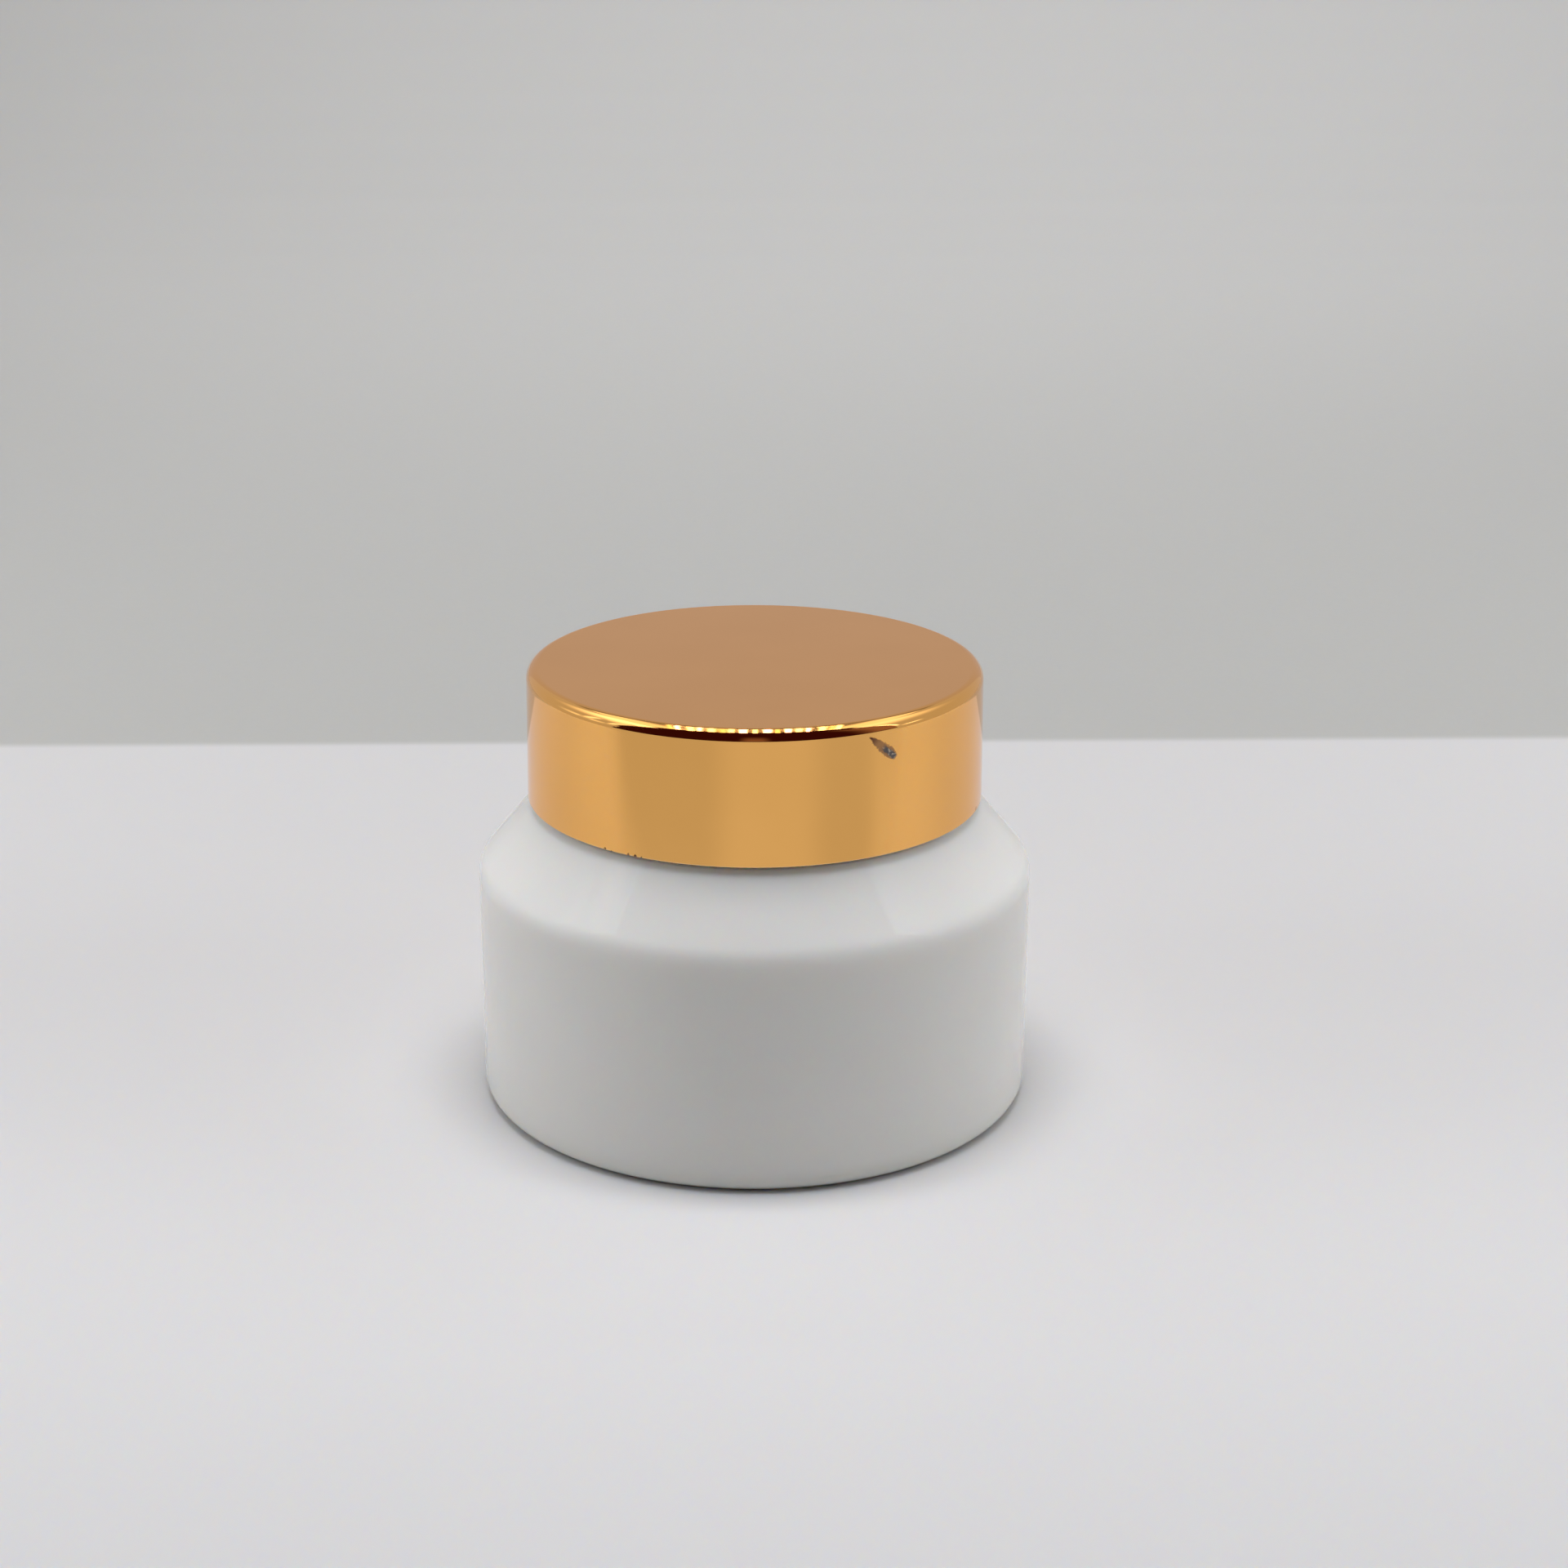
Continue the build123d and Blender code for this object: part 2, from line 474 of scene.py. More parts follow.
def gold_aluminium():
    """Bright anodised aluminium with smudges, fine wear, one scrape and a few nicks in its rim."""
    made, tree, shader = new_material("gold_anodised_aluminium")
    where = place(tree)
    point = separated(tree, where)
    height = point["Z"]
    angle = maths(tree, "ARCTAN2", point["X"], maths(tree, "MULTIPLY", point["Y"], -1))
    arc = maths(tree, "MULTIPLY", angle, shell_foot_radius * MM)
    scrape, core, along = scrape_on_wall(tree, where, arc, height)
    speckle = spread(tree, noise(tree, where, 4200, 2), 0.52, 0.62)
    nicks = largest(tree, [spot(tree, arc, height, *nick) for nick in RIM_NICKS])
    nicks = maths(tree, "MULTIPLY", nicks, spread(tree, noise(tree, where, 3800, 2), 0.36, 0.52))
    cut_edge = spread(tree, height, (shell_foot + 0.16) * MM, (shell_foot + 0.08) * MM)

    tone = spread(tree, noise(tree, where, 60), 0.3, 0.7)
    colour = blend_colours(tree, tone, GOLD_DARK, GOLD_LIGHT)
    colour = blend_colours(tree, cut_edge, colour, CUT_EDGE)
    rust = blend_colours(tree, spread(tree, along, 0.05, 0.35), RUST_DARK, RUST_LIGHT)
    slate = blend_colours(tree, speckle, SLATE_DARK, SLATE_LIGHT)
    colour = blend_colours(tree, scrape, colour, blend_colours(tree, core, rust, slate))
    colour = blend_colours(tree, nicks, colour, NICK_BROWN)
    tree.links.new(colour, shader.inputs["Base Color"])

    # Where the wall is worn the metal is dull. The nicks fade out where the angle's two ends meet.
    seamless = spread(tree, maths(tree, "ABSOLUTE", angle), 3.2, 3.0)
    worn = maths(tree, "MAXIMUM", scrape, maths(tree, "MULTIPLY", nicks, seamless))
    tree.links.new(spread(tree, worn, 0.0, 1.0, 1.0, 0.15), shader.inputs["Metallic"])
    shader.inputs["Specular Tint"].default_value = (*GOLD_AT_GRAZING, 1)
    smudges = spread(tree, noise(tree, where, 220, 5, 0.6), 0.4, 0.8, 0.045, 0.10)
    tree.links.new(maths(tree, "MULTIPLY_ADD", worn, 0.45, smudges), shader.inputs["Roughness"])
    bump(
        tree,
        shader,
        (noise(tree, where, 120, 2), 0.004 * MM),
        (noise(tree, where, 5000, 2), 0.0004 * MM),
        (maths(tree, "MULTIPLY", worn, noise(tree, where, 3500, 3)), 0.06 * MM),
    )
    return made


def moulded_plastic(name, dark, light, rough, translucent):
    """Plain moulded plastic: slightly uneven in tone, with a fine grain."""
    made, tree, shader = new_material(name)
    where = place(tree)
    tone = noise(tree, where, 120)
    colour = blend_colours(tree, spread(tree, tone, 0.3, 0.7), dark, light)
    tree.links.new(colour, shader.inputs["Base Color"])
    grain = noise(tree, where, 2500, 3)
    tree.links.new(spread(tree, grain, 0.3, 0.7, rough - 0.06, rough + 0.06), shader.inputs["Roughness"])
    shader.inputs["IOR"].default_value = 1.49
    shader.inputs["Subsurface Weight"].default_value = translucent
    shader.inputs["Subsurface Radius"].default_value = (1.0, 1.0, 1.0)
    shader.inputs["Subsurface Scale"].default_value = 0.6 * MM
    bump(tree, shader, (tone, 0.02 * MM), (grain, 0.004 * MM))
    return made


def polyethylene_foam():
    """White closed-cell foam."""
    made, tree, shader = new_material("polyethylene_foam")
    where = place(tree)
    cells = tree.nodes.new("ShaderNodeTexVoronoi")
    cells.inputs["Scale"].default_value = 1800
    tree.links.new(where, cells.inputs["Vector"])
    cell = cells.outputs["Distance"]
    colour = blend_colours(tree, spread(tree, cell, 0.1, 0.8), (0.86, 0.86, 0.85), (0.72, 0.72, 0.71))
    tree.links.new(colour, shader.inputs["Base Color"])
    tree.links.new(spread(tree, cell, 0.0, 0.8, 0.75, 0.95), shader.inputs["Roughness"])
    bump(tree, shader, (cell, 0.08 * MM))
    return made


# ---------------------------------------------------------------- glass jar
STIPPLE_RIDGES = 72
STIPPLE_HEIGHT = 0.12
STIPPLE_RING = (26.6, 27.0, 28.2, 29.0)     # radii where the ridges start, are full, drop and end


def jar_surface(angle, radius, height):
    """The neck's screw thread, and the fine ridges of the ring that the jar stands on."""
    straight = ledge_height + neck_root_rounding < height < mouth_height - lip_outer_rounding
    if radius > neck_radius - NEAR and straight:
        out = thread_height(angle, height, 0.0, neck_thread_start, neck_thread_root, neck_thread_crest)
        return radius + neck_thread_depth * out, height
    if height < NEAR and radius > bearing_radius:
        ridge = 0.5 - 0.5 * math.cos(angle * STIPPLE_RIDGES)
        start, full, drop, end = STIPPLE_RING
        span = smooth(start, full, radius) * (1 - smooth(drop, end, radius))
        return radius, height + STIPPLE_HEIGHT * ridge * span
    return radius, height


def on_neck(point):
    return neck_radius - NEAR < point.x < ledge_radius and point.y > ledge_height


def glass_jar():
    outline = rounded(
        [
            (0, push_up_height, 0),
            (push_up_radius, push_up_height, push_up_rounding),
            (bearing_radius, 0, bearing_rounding),
            (body_radius, 0, heel_rounding),
            (body_radius, shoulder_height, shoulder_rounding),
            (ledge_radius, ledge_height, ledge_rounding),
            (neck_radius, ledge_height, neck_root_rounding),
            (neck_radius, mouth_height, lip_outer_rounding),
            (mouth_radius, mouth_height, lip_inner_rounding),
            (mouth_radius, neck_bore_foot, neck_bore_rounding),
            (cavity_radius, cavity_shoulder_height, cavity_shoulder_rounding),
            (cavity_radius, cavity_floor, cavity_floor_rounding),
            (0, cavity_floor, 0),
        ]
    )
    outline = refined(outline, 2.5)
    outline = refined(outline, FINE, on_neck)
    outline = refined(outline, 2 * FINE, lambda p: p.y < NEAR and p.x > bearing_radius)
    return lathe("jar_glass", outline, ROUND_SEGMENTS, jar_surface)


# ---------------------------------------------------------------- lid
def outer_shell():
    outline = rounded(
        [
            (0, cap_top, 0),
            (shell_top_radius - shell_thickness, cap_top, shell_corner_rounding - shell_thickness),
            (shell_foot_radius - shell_thickness, shell_foot, shell_edge_rounding),
            (shell_foot_radius, shell_foot, shell_edge_rounding),
            (shell_top_radius, shell_top, shell_corner_rounding),
            (0, shell_top, 0),
        ],
        arc_step=math.radians(4),
        brace=0.05,
    )
    return lathe("lid_shell", refined(outline, 1.5), ROUND_SEGMENTS)


def cap_surface(angle, radius, height):
    """The inner cap's thread inside, and the crush ribs that grip the shell outside."""
    if abs(radius - cap_inner_radius) < NEAR and cap_foot + 0.3 < height < liner_top - 0.3:
        out = thread_height(
            angle, height, cap_thread_angle, cap_thread_start, cap_thread_root, cap_thread_crest
        )
        return radius - cap_thread_depth * out, height
    if abs(radius - cap_outer_radius) < NEAR and crush_rib_foot < height < crush_rib_top:
        off = abs((angle * crush_ribs / (2 * math.pi) + 0.5) % 1 - 0.5)
        return radius + (crush_rib_radius - cap_outer_radius) * (1 - smooth(0.06, 0.13, off)), height
    return radius, height


def inner_cap():
    outline = rounded(
        [
            (0, liner_top, 0),
            (cap_inner_radius, liner_top, cap_edge_rounding),
            (cap_inner_radius, cap_foot, cap_edge_rounding),
            (cap_outer_radius, cap_foot, cap_edge_rounding),
            (cap_outer_radius, cap_top, cap_corner_rounding),
            (0, cap_top, 0),
        ],
        arc_step=math.radians(15),
    )
    outline = refined(outline, FINE, lambda p: abs(p.x - cap_inner_radius) < NEAR)
    outline = refined(outline, 0.5, lambda p: p.x > cap_outer_radius - NEAR)
    return lathe("lid_inner_cap", refined(outline, 3.0), ROUND_SEGMENTS, cap_surface)


def cap_liner():
    outline = rounded(
        [
            (0, flange_top, 0),
            (liner_radius, flange_top, 0.1),
            (liner_radius, liner_top, 0.1),
            (0, liner_top, 0),
        ],
        arc_step=math.radians(30),
        brace=0.02,
    )
    return lathe("lid_liner", refined(outline, 3.0), PLAIN_SEGMENTS)


# ---------------------------------------------------------------- sealing disc and its pull tab
def disc_body():
    outline = rounded(
        [
            (0, dish_floor - web_thickness, 0),
            (plug_inner_radius, dish_floor - web_thickness, disc_edge_rounding),
            (plug_inner_radius, plug_foot, disc_edge_rounding),
            (plug_radius, plug_foot, plug_lead_in),
            (plug_radius, mouth_height, 0),
            (flange_radius, mouth_height, disc_edge_rounding),
            (flange_radius, flange_top, disc_edge_rounding),
            (dish_radius, flange_top, disc_edge_rounding),
            (dish_radius, dish_floor, disc_edge_rounding),
            (0, dish_floor, 0),
        ],
        arc_step=math.radians(15),
    )
    return lathe("seal_disc", refined(outline, 2.5), PLAIN_SEGMENTS)


def slab(name, outline, low, high, edge):
    """A flat plate of the given outline in millimetres, with rounded edges."""
    made = bmesh.new()
    face = made.faces.new([made.verts.new((x * MM, y * MM, low * MM)) for x, y in outline])
    raised = bmesh.ops.extrude_face_region(made, geom=[face])["geom"]
    lifted = [part for part in raised if isinstance(part, bmesh.types.BMVert)]
    bmesh.ops.translate(made, verts=lifted, vec=(0, 0, (high - low) * MM))
    bmesh.ops.recalc_face_normals(made, faces=made.faces)
    rims = [rim for rim in made.edges if abs(rim.verts[0].co.z - rim.verts[1].co.z) < 1e-9]
    bmesh.ops.bevel(made, geom=rims, offset=edge * MM, segments=3, affect="EDGES", profile=0.5)
    mesh = bpy.data.meshes.new(name)
    made.to_mesh(mesh)
    made.free()
    return placed(name, mesh)


def tongue_outline(root, tip, width, steps=24):
    """Straight sides from the root and a half-round tip, pointing along +X."""
    half = width / 2
    points = [(root, half), (root, -half)]
    for step in range(steps + 1):
        angle = math.pi * (step / steps - 0.5)
        points.append((tip - half + half * math.cos(angle), half * math.sin(angle)))
    return points


def pill_outline(x, length, width, steps=8):
    """A narrow bar along Y with half-round ends."""
    reach = (length - width) / 2
    points = []
    for side in (1, -1):
        for step in range(steps + 1):
            angle = math.pi * step / steps
            across = width / 2 * math.cos(angle)
            outward = reach + width / 2 * math.sin(angle)
            points.append((x + side * across, side * outward))
    return points


def joined(name, parts):
    """Unites overlapping solids into one closed mesh."""
    base = parts[0]
    for other in parts[1:]:
        union = base.modifiers.new("union", "BOOLEAN")
        union.operation = "UNION"
        union.solver = "EXACT"
        union.object = other
    graph = bpy.context.evaluated_depsgraph_get()
    mesh = bpy.data.meshes.new_from_object(base.evaluated_get(graph))
    for part in parts:
        bpy.data.objects.remove(part)
    return placed(name, mesh)


hinge = next(joint for joint in frame["joints"] if joint["name"] == "tab_fold")["pos_m"]
hinge_x, hinge_z = hinge[0] / MM, hinge[2] / MM
tab_width = tab_high.y - tab_low.y
tab_tip = tab_high.x


def sealing_disc():
    """The disc, with the low boss on its web that the pull tab folds from."""
    end = hinge_x - tab_thickness / 2 - tab_gap
    half = tab_width / 2
    outline = [(end - boss_length, -half), (end, -half), (end, half), (end - boss_length, half)]
    low, high = dish_floor - web_thickness / 2, dish_floor + boss_height
    boss = slab("boss", outline, low, high, boss_edge_rounding)
    return joined("seal_disc", [disc_body(), boss])


def pull_tab():
    """A tongue with a round tip, a round root on the hinge line and raised grip bars."""
    low = dish_floor + tab_gap
    top = low + tab_thickness
    half = tab_width / 2
    radius = tab_thickness / 2
    tongue = slab("tongue", tongue_outline(hinge_x, tab_tip, tab_width), low, top, tab_edge_rounding)

    corners = [(0, -half, 0), (radius, -half, 0.1), (radius, half, 0.1), (0, half, 0)]
    root = lathe("root", rounded(corners, arc_step=math.radians(30), brace=0.02), 48)
    laid_down = Matrix.Rotation(math.pi / 2, 4, "X")
    root.data.transform(Matrix.Translation((hinge_x * MM, 0, hinge_z * MM)) @ laid_down)

    bars = []
    for step in (-1, 0, 1):
        x = tab_tip - half + step * grip_bar_spacing
        outline = pill_outline(x, grip_bar_length, grip_bar_width)
        bars.append(slab("bar", outline, top - 0.1, tab_high.z, 0.1))
    return joined("seal_pull_tab", [tongue, root] + bars)


# ---------------------------------------------------------------- the object
WHITE = ((0.80, 0.80, 0.78), (0.84, 0.84, 0.82))
MILKY = ((0.80, 0.82, 0.82), (0.85, 0.87, 0.87))

wear(glass_jar(), "jar", "glass_jar", opal_glass())
white_plastic = moulded_plastic("white_polypropylene", *WHITE, rough=0.35, translucent=0.2)
soft_plastic = moulded_plastic("natural_polyethylene", *MILKY, rough=0.42, translucent=0.5)
wear(sealing_disc(), "disc", "sealing_disc", soft_plastic)
wear(pull_tab(), "disc_tab", "disc_pull_tab", soft_plastic)
liner = cap_liner()
wear(liner, "liner", "cap_liner", polyethylene_foam())
wear(inner_cap(), "lid", "inner_cap", white_plastic)
wear(outer_shell(), "lid", "outer_shell", gold_aluminium())


# ---------------------------------------------------------------- stage
TABLE_REACH = 1.6
TABLE_EDGE = 0.1242                 # the table's back edge, where the backdrop starts
TABLE_EDGE_SLOPE = math.tan(math.radians(1.18))
BACKDROP_DEPTH = 1.3
BACKDROP_STEPS = 52
BACKDROP_SLOPE = 0.06
BACKDROP_SWEEP = 1.2
SWEEP_START = 0.35
EDGE_SOFTNESS = 0.0016

TABLE_NEAR = (0.80, 0.795, 0.815)
TABLE_FAR = (0.65, 0.642, 0.655)
# The backdrop is painted greyer than the table, and lighter towards its far end: painted light where the
# lamps reach it less.
BACKDROP_NEAR_LEFT = (0.475, 0.475, 0.465)
BACKDROP_NEAR_RIGHT = (0.465, 0.465, 0.455)
BACKDROP_FAR_LEFT_PAINTED_LIGHT = (0.665, 0.66, 0.65)
BACKDROP_FAR_RIGHT_PAINTED_LIGHT = (0.73, 0.725, 0.72)
PAPER_END_GLOW = 0.5


def stage_mesh(name, verts, faces, made):
    piece = object_from(name, verts, faces)
    piece.data.materials.append(made)
    return piece


def stage_paper():
    """White table paper, darker towards its back edge, and behind that edge a slightly greyer backdrop,
    painted lighter towards its far end where the lamps reach it less.
    """
    made, tree, shader = new_material("studio_paper")
    where = place(tree)
    point = separated(tree, where)
    edge = maths(tree, "MULTIPLY", point["X"], TABLE_EDGE_SLOPE)
    behind = maths(tree, "SUBTRACT", maths(tree, "SUBTRACT", point["Y"], edge), TABLE_EDGE)
    across = spread(tree, point["X"], -0.35, 0.25)
    backdrop_near = blend_colours(tree, across, BACKDROP_NEAR_LEFT, BACKDROP_NEAR_RIGHT)
    backdrop_far_painted_light = blend_colours(tree, across, BACKDROP_FAR_LEFT_PAINTED_LIGHT, BACKDROP_FAR_RIGHT_PAINTED_LIGHT)
    # Lighter far back: painted light that evens out the lamps.
    backdrop = blend_colours(tree, spread(tree, behind, 0.0, 0.65), backdrop_near, backdrop_far_painted_light)
    table = blend_colours(tree, spread(tree, behind, -0.18, -0.08), TABLE_NEAR, TABLE_FAR)
    colour = blend_colours(tree, spread(tree, behind, -EDGE_SOFTNESS, EDGE_SOFTNESS), table, backdrop)
    tree.links.new(colour, shader.inputs["Base Color"])
    grain = noise(tree, where, 900, 4)
    tree.links.new(spread(tree, grain, 0.3, 0.7, 0.72, 0.85), shader.inputs["Roughness"])
    shader.inputs["Specular IOR Level"].default_value = 0.1
    shader.inputs["Subsurface Weight"].default_value = 1.0
    shader.inputs["Subsurface Radius"].default_value = (1.25, 1.0, 0.7)
    shader.inputs["Subsurface Scale"].default_value = 1.8 * MM

    # The lamps don't reach the far ends of the paper, which glow a little instead
    front = spread(tree, point["Y"], -0.28, -0.6)
    off_middle = maths(tree, "ABSOLUTE", point["X"])
    on_table = spread(tree, behind, 0.0, -EDGE_SOFTNESS)
    aside = maths(tree, "MULTIPLY", spread(tree, off_middle, 0.25, 0.6), on_table)
    dark = largest(tree, [front, aside, spread(tree, off_middle, 0.55, 0.9)])
    lit = maths(tree, "MULTIPLY", dark, PAPER_END_GLOW)
    tree.links.new(lit, shader.inputs["Emission Strength"])
    shader.inputs["Emission Color"].default_value = (1, 0.99, 1, 1)
    made.cycles.emission_sampling = "NONE"
    return made


def backdrop_height(back):
    """Height of the backdrop at a distance behind the table's edge: a gentle slope, then a sweep."""
    return BACKDROP_SLOPE * back + BACKDROP_SWEEP * max(0.0, back - SWEEP_START) ** 2


def table_and_backdrop():
    rows = [(-TABLE_REACH, 0, 0), (TABLE_EDGE, 0, TABLE_EDGE_SLOPE)]
    for step in range(1, BACKDROP_STEPS + 1):
        back = BACKDROP_DEPTH * step / BACKDROP_STEPS
        rows.append((TABLE_EDGE + back, backdrop_height(back), TABLE_EDGE_SLOPE))
    verts = []
    for y, height, slope in rows:
        verts += [(side, y + slope * side, height) for side in (-TABLE_REACH, TABLE_REACH)]
    faces = [(2 * row, 2 * row + 1, 2 * row + 3, 2 * row + 2) for row in range(len(rows) - 1)]
    return stage_mesh("stage_table_and_backdrop", verts, faces, stage_paper())


# Light tent. Its lamps and lit walls light the scene, and panels of the same layout are what the
# polished surfaces reflect: pale side walls, a dark open front and a row of small lamps above.
TENT_SIDE = 0.30
TENT_FRONT = -0.11
TENT_BACK = 0.55
TENT_TOP = 0.52

TOP_POWER = 1.12
TOP_FRONT_POWER = 0.66
LEFT_POWER = 0.325
RIGHT_POWER = 0.305
BACKDROP_POWER = 3.0
AMBIENT = 0.01
HORIZON = 0.52
TENT_WALL_GLOW = 0.56
ROOF_GLOW = 0.3
ROOF_GLOW_ASIDE = 1.2
ROOF_FRONT = -0.06
BACK_GLOW = 0.51
FRONT_GLOW = 0.69
FRONT_REACH = 0.9
FRONT_BACK_EDGE = -0.045
ZONES_MEET = -0.0145                # y where the zones in front of the picture fan out from
OPENING_GLOW = 0.035
FLAP_EDGE = 0.10
CAMERA_HALF_WIDTH = 0.016

# The lamps' places and widths are in steps across the fan, which narrows towards the back
LAMP_COUNT = 17
LAMP_STEP = 2.55
LAMP_HALF_WIDTH = 0.75
LAMP_FAN = ((-0.09, 0.0105), (0.0, 0.0087), (0.09, 0.0074), (0.2, 0.0061), (0.32, 0.0050))   # y, width
LAMP_BOW = 0.00009
LAMP_LOOKS = (
    # colour, brightness
    ((1.0, 0.93, 0.75), 5.0),
    ((1.0, 0.75, 0.95), 9.0),
    ((1.0, 0.98, 0.9), 7.0),
    ((1.0, 0.85, 0.5), 2.5),
)


def reflected_only(name):
    """An emission for panels that are seen only in reflections, with the panel's coordinates."""
    made = bpy.data.materials.new(name)
    made.use_nodes = True
    tree = made.node_tree
    tree.nodes.remove(tree.nodes["Principled BSDF"])
    emission = tree.nodes.new("ShaderNodeEmission")
    tree.links.new(emission.outputs[0], tree.nodes["Material Output"].inputs["Surface"])
    made.cycles.emission_sampling = "NONE"
    return made, tree, separated(tree, place(tree)), emission


def let_through(tree, emission, share):
    """Lets whatever is behind a panel show through it, except for a share of its own light."""
    clear = tree.nodes.new("ShaderNodeBsdfTransparent")
    mixed = tree.nodes.new("ShaderNodeMixShader")
    tree.links.new(share, mixed.inputs[0])
    tree.links.new(clear.outputs[0], mixed.inputs[1])
    tree.links.new(emission.outputs[0], mixed.inputs[2])
    tree.links.new(mixed.outputs[0], tree.nodes["Material Output"].inputs["Surface"])


def glow(name, colour, strength):
    """Plain emission."""
    made, _, _, emission = reflected_only(name)
    emission.inputs["Color"].default_value = (*colour, 1)
    emission.inputs["Strength"].default_value = strength
    return made


def panel(name, corners, made):
    """A flat panel that shows only in glossy reflections: the camera and the diffuse light miss it."""
    piece = stage_mesh(name, corners, [tuple(range(len(corners)))], made)
    piece.visible_camera = False
    piece.visible_diffuse = False
    piece.visible_shadow = False
    piece.visible_transmission = False
    piece.visible_volume_scatter = False
    return piece


def rectangle(side, front, back, height):
    """Corners of a level rectangle that reaches equally far to both sides."""
    return [(-side, front, height), (side, front, height), (side, back, height), (-side, back, height)]


def upright_panel(name, ends, low, high, made):
    (x0, y0), (x1, y1) = ends
    return panel(name, [(x0, y0, low), (x1, y1, low), (x1, y1, high), (x0, y0, high)], made)


def soft_light(name, position, target, size, power):
    data = bpy.data.lights.new(name, "AREA")
    data.shape = "RECTANGLE"
    data.size, data.size_y = size
    data.energy = power
    made = bpy.data.objects.new(name, data)
    made.location = position
    made.rotation_euler = (Vector(target) - Vector(position)).to_track_quat("-Z", "Y").to_euler()
    made.visible_camera = False
    made.visible_glossy = False
    bpy.context.scene.collection.objects.link(made)
    return made


def table_front():
    """The table in front of the picture, as the lid's wall reflects it: paler and duller zones."""
    made, tree, where, emission = reflected_only("table_front")
    turn = maths(tree, "DIVIDE", where["X"], maths(tree, "SUBTRACT", ZONES_MEET, where["Y"]))
    left = maths(tree, "MULTIPLY", spread(tree, turn, -3.8, -1.9), spread(tree, turn, 0.0, -0.6))
    right = maths(tree, "MULTIPLY", spread(tree, turn, 0.2, 0.9), spread(tree, turn, 2.4, 1.2))
    shade = maths(tree, "ADD", left, maths(tree, "MULTIPLY", right, 0.85))
    strength = spread(tree, shade, 0.0, 1.0, FRONT_GLOW, FRONT_GLOW * 0.86)
    tree.links.new(strength, emission.inputs["Strength"])
    emission.inputs["Color"].default_value = (1.0, 1.0, 0.98, 1)
    let_through(tree, emission, spread(tree, where["Y"], FRONT_BACK_EDGE, FRONT_BACK_EDGE - 0.04))
    corners = rectangle(FRONT_REACH, -FRONT_REACH, FRONT_BACK_EDGE, 0.0005)
    panel("stage_table_front", corners, made)


def tent_wall(name, gain):
    """A side wall of the tent: plain below, and brighter beside the lamps, near its top and front."""
    made, tree, where, emission = reflected_only(name)
    high = spread(tree, where["Z"], 0.20, 0.42)
    near = spread(tree, where["Y"], 0.30, 0.06)
    strength = maths(tree, "MULTIPLY_ADD", maths(tree, "MULTIPLY", high, near), gain, TENT_WALL_GLOW)
    tree.links.new(strength, emission.inputs["Strength"])
    emission.inputs["Color"].default_value = (1.0, 0.98, 0.95, 1)
    return made


SEAMS = (
    # name, side, middle in y, half width, foot, top, brightness over the wall's
    ("seam_right", 1, -0.097, 0.008, 0.10, 0.36, 3.2),
    ("seam_left_front", -1, -0.088, 0.016, 0.10, 0.36, 1.3),
    ("seam_left_back", -1, -0.005, 0.020, 0.10, 0.27, 1.2),
    ("hem_right", 1, -0.055, 0.045, 0.085, 0.115, 1.4),
    ("hem_left", -1, 0.0, 0.120, 0.085, 0.150, 0.6),
)


def seam_light(name, centre, half, low, high, peak):
    """A brighter strip of the tent's wall that fades towards its edges."""
    made, tree, where, emission = reflected_only(name)
    off = maths(tree, "ABSOLUTE", maths(tree, "SUBTRACT", where["Y"], centre))
    across = spread(tree, off, half, half * 0.2)
    fade = (high - low) * 0.3
    foot = spread(tree, where["Z"], low, low + fade)
    top = spread(tree, where["Z"], high, high - fade)
    lit = maths(tree, "MULTIPLY", across, maths(tree, "MULTIPLY", foot, top))
    strength = maths(tree, "MULTIPLY_ADD", lit, peak, TENT_WALL_GLOW)
    tree.links.new(strength, emission.inputs["Strength"])
    return made


def tent_front():
    """A dim flap beside the tent's dark opening, on the right."""
    made, tree, where, emission = reflected_only("tent_front")
    emission.inputs["Strength"].default_value = 0.3
    emission.inputs["Color"].default_value = (1.0, 0.55, 0.45, 1)
    let_through(tree, emission, spread(tree, where["X"], 0.10, 0.20))
    return made


def camera_glow():
    """The dim patch that the camera makes in the middle of the tent's opening."""
    made, tree, where, emission = reflected_only("camera_glow")
    emission.inputs["Strength"].default_value = 0.23
    emission.inputs["Color"].default_value = (1.0, 0.5, 0.4, 1)
    across = spread(tree, maths(tree, "ABSOLUTE", where["X"]), 0.015, 0.004)
    low = spread(tree, where["Z"], 0.14, 0.055)
    let_through(tree, emission, maths(tree, "MULTIPLY", across, low))
    return made


def tent_roof():
    """The tent's roof: dull in the middle and bright beside the walls."""
    made, tree, where, emission = reflected_only("tent_roof")
    aside = spread(tree, maths(tree, "ABSOLUTE", where["X"]), 0.13, 0.20)
    near = spread(tree, where["Y"], 0.44, 0.34)
    strength = maths(tree, "MULTIPLY_ADD", maths(tree, "MULTIPLY", aside, near), ROOF_GLOW_ASIDE, ROOF_GLOW)
    tree.links.new(strength, emission.inputs["Strength"])
    emission.inputs["Color"].default_value = (1.0, 0.95, 0.85, 1)
    return made


def lamps():
    """The lamps that light the scene. Their powers are in watts."""
    above, beside = (0.3, 0.1), (0.3, 0.25)
    soft_light("lamp_top", (0, 0.005, TENT_TOP), (0, 0, 0), above, TOP_POWER)
    soft_light("lamp_top_front", (0, -0.12, 0.5), (0, 0, 0), above, TOP_FRONT_POWER)
    soft_light("lamp_left", (-TENT_SIDE, 0.03, 0.14), (0, 0, 0.03), beside, LEFT_POWER)
    soft_light("lamp_right", (TENT_SIDE, 0.03, 0.14), (0, 0, 0.03), beside, RIGHT_POWER)
    soft_light("lamp_backdrop", (0.1, 0.35, TENT_TOP), (0.1, 0.85, 0.05), (1.2, 0.2), BACKDROP_POWER)


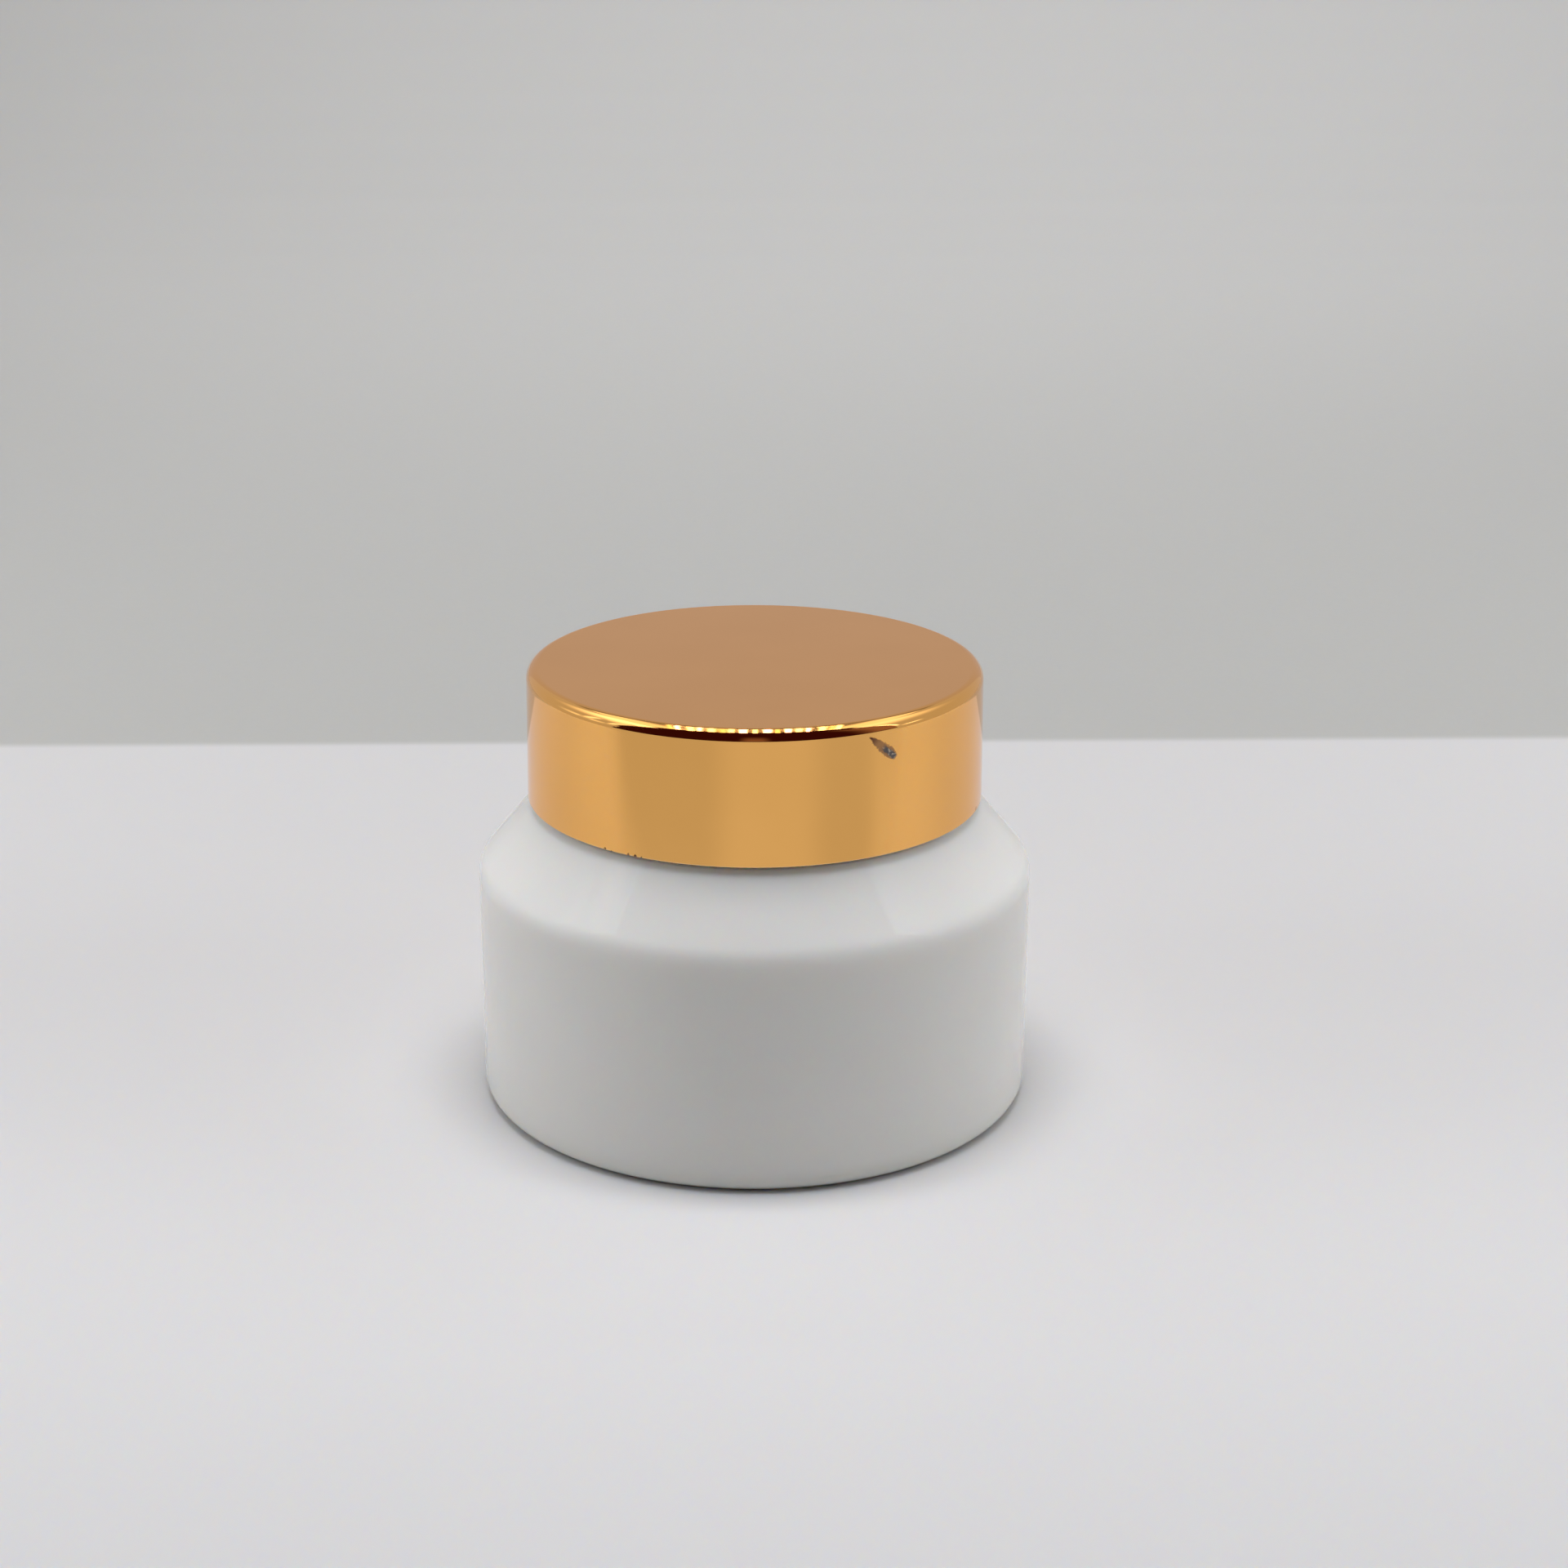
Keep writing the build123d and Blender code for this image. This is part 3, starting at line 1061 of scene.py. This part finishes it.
def tent_panels():
    back = [(-TENT_SIDE, TENT_BACK), (TENT_SIDE, TENT_BACK)]
    upright_panel("stage_tent_back", back, 0.0, TENT_TOP, glow("tent_back", (1, 0.93, 0.90), BACK_GLOW))
    for name, side, gain in (("left", -1, 1.9), ("right", 1, 1.1)):
        x = side * TENT_SIDE
        wall = tent_wall("tent_wall_" + name, gain)
        upright_panel("stage_tent_" + name, [(x, TENT_FRONT), (x, TENT_BACK)], 0.0, TENT_TOP, wall)
    panel("stage_tent_roof", rectangle(TENT_SIDE, ROOF_FRONT, TENT_BACK, TENT_TOP), tent_roof())
    flap = [(FLAP_EDGE, TENT_FRONT), (TENT_SIDE, TENT_FRONT)]
    upright_panel("stage_front_right", flap, 0.055, 0.3, tent_front())
    patch = [(-CAMERA_HALF_WIDTH, TENT_FRONT), (CAMERA_HALF_WIDTH, TENT_FRONT)]
    upright_panel("stage_camera_glow", patch, 0.052, 0.14, camera_glow())
    for name, side, centre, half, low, high, peak in SEAMS:
        x = side * (TENT_SIDE - 0.002)
        made = seam_light("tent_" + name, centre, half, low, high, peak)
        upright_panel("stage_" + name, [(x, centre - half), (x, centre + half)], low, high, made)


def lamp_row():
    """Reflections of the small lamps under the roof: a slightly uneven row of narrow strips."""
    looks = [glow(f"lamp_{index}", *look) for index, look in enumerate(LAMP_LOOKS)]
    for index in range(LAMP_COUNT):
        turn = (index - (LAMP_COUNT - 1) / 2) * LAMP_STEP + 0.25 * math.sin(index * 5.1)
        bow = LAMP_BOW * turn ** 2 + 0.015 * math.sin(index * 2.3)
        half = LAMP_HALF_WIDTH * (1 + 0.25 * math.sin(index * 3.7))
        height = TENT_TOP - 0.01
        left = [((turn - half) * fan, y + bow, height) for y, fan in LAMP_FAN]
        right = [((turn + half) * fan, y + bow, height) for y, fan in LAMP_FAN]
        look = looks[(index * index) % 4 if index % 5 else 3]
        panel(f"stage_lamp_{index:02d}", left + right[::-1], look)


def studio_world():
    """Weak even light; pale where the camera sees past the table, and dark in reflections."""
    world = bpy.data.worlds.new("studio")
    world.use_nodes = True
    tree = world.node_tree
    ambient = tree.nodes["Background"]
    ambient.inputs["Color"].default_value = (1, 1, 1, 1)
    ambient.inputs["Strength"].default_value = AMBIENT
    horizon = tree.nodes.new("ShaderNodeBackground")
    horizon.inputs["Color"].default_value = (1, 1, 1, 1)
    horizon.inputs["Strength"].default_value = HORIZON
    opening = tree.nodes.new("ShaderNodeBackground")
    opening.inputs["Color"].default_value = (1, 0.14, 0.12, 1)
    opening.inputs["Strength"].default_value = OPENING_GLOW
    rays = tree.nodes.new("ShaderNodeLightPath")
    seen = tree.nodes.new("ShaderNodeMixShader")
    reflected = tree.nodes.new("ShaderNodeMixShader")
    tree.links.new(rays.outputs["Is Glossy Ray"], reflected.inputs[0])
    tree.links.new(ambient.outputs[0], reflected.inputs[1])
    tree.links.new(opening.outputs[0], reflected.inputs[2])
    tree.links.new(rays.outputs["Is Camera Ray"], seen.inputs[0])
    tree.links.new(reflected.outputs[0], seen.inputs[1])
    tree.links.new(horizon.outputs[0], seen.inputs[2])
    tree.links.new(seen.outputs[0], tree.nodes["World Output"].inputs["Surface"])
    bpy.context.scene.world = world


table_and_backdrop()
table_front()
lamps()
tent_panels()
lamp_row()
studio_world()
bpy.context.scene.view_settings.view_transform = "Standard"


# ---------------------------------------------------------------- camera
FOCAL_LENGTH = 63.97
SENSOR_WIDTH = 36
CAMERA_PLACE = (0.0, -0.2955, 0.1360)
CAMERA_PITCH = math.radians(18.82)
CAMERA_YAW = math.radians(0.631)
CAMERA_ROLL = math.radians(0.259)


def camera():
    level_reach = math.cos(CAMERA_PITCH)
    forward = Vector((
        math.sin(CAMERA_YAW) * level_reach,
        math.cos(CAMERA_YAW) * level_reach,
        -math.sin(CAMERA_PITCH),
    ))
    level = Vector((math.cos(CAMERA_YAW), -math.sin(CAMERA_YAW), 0))
    upright = level.cross(forward)
    right = level * math.cos(CAMERA_ROLL) + upright * math.sin(CAMERA_ROLL)
    up = right.cross(forward)
    data = bpy.data.cameras.new("camera")
    data.sensor_width = SENSOR_WIDTH
    data.lens = FOCAL_LENGTH
    made = bpy.data.objects.new("camera", data)
    turned = Matrix((right, up, -forward)).transposed().to_4x4()
    made.matrix_world = Matrix.Translation(CAMERA_PLACE) @ turned
    bpy.context.scene.collection.objects.link(made)
    bpy.context.scene.camera = made


camera()
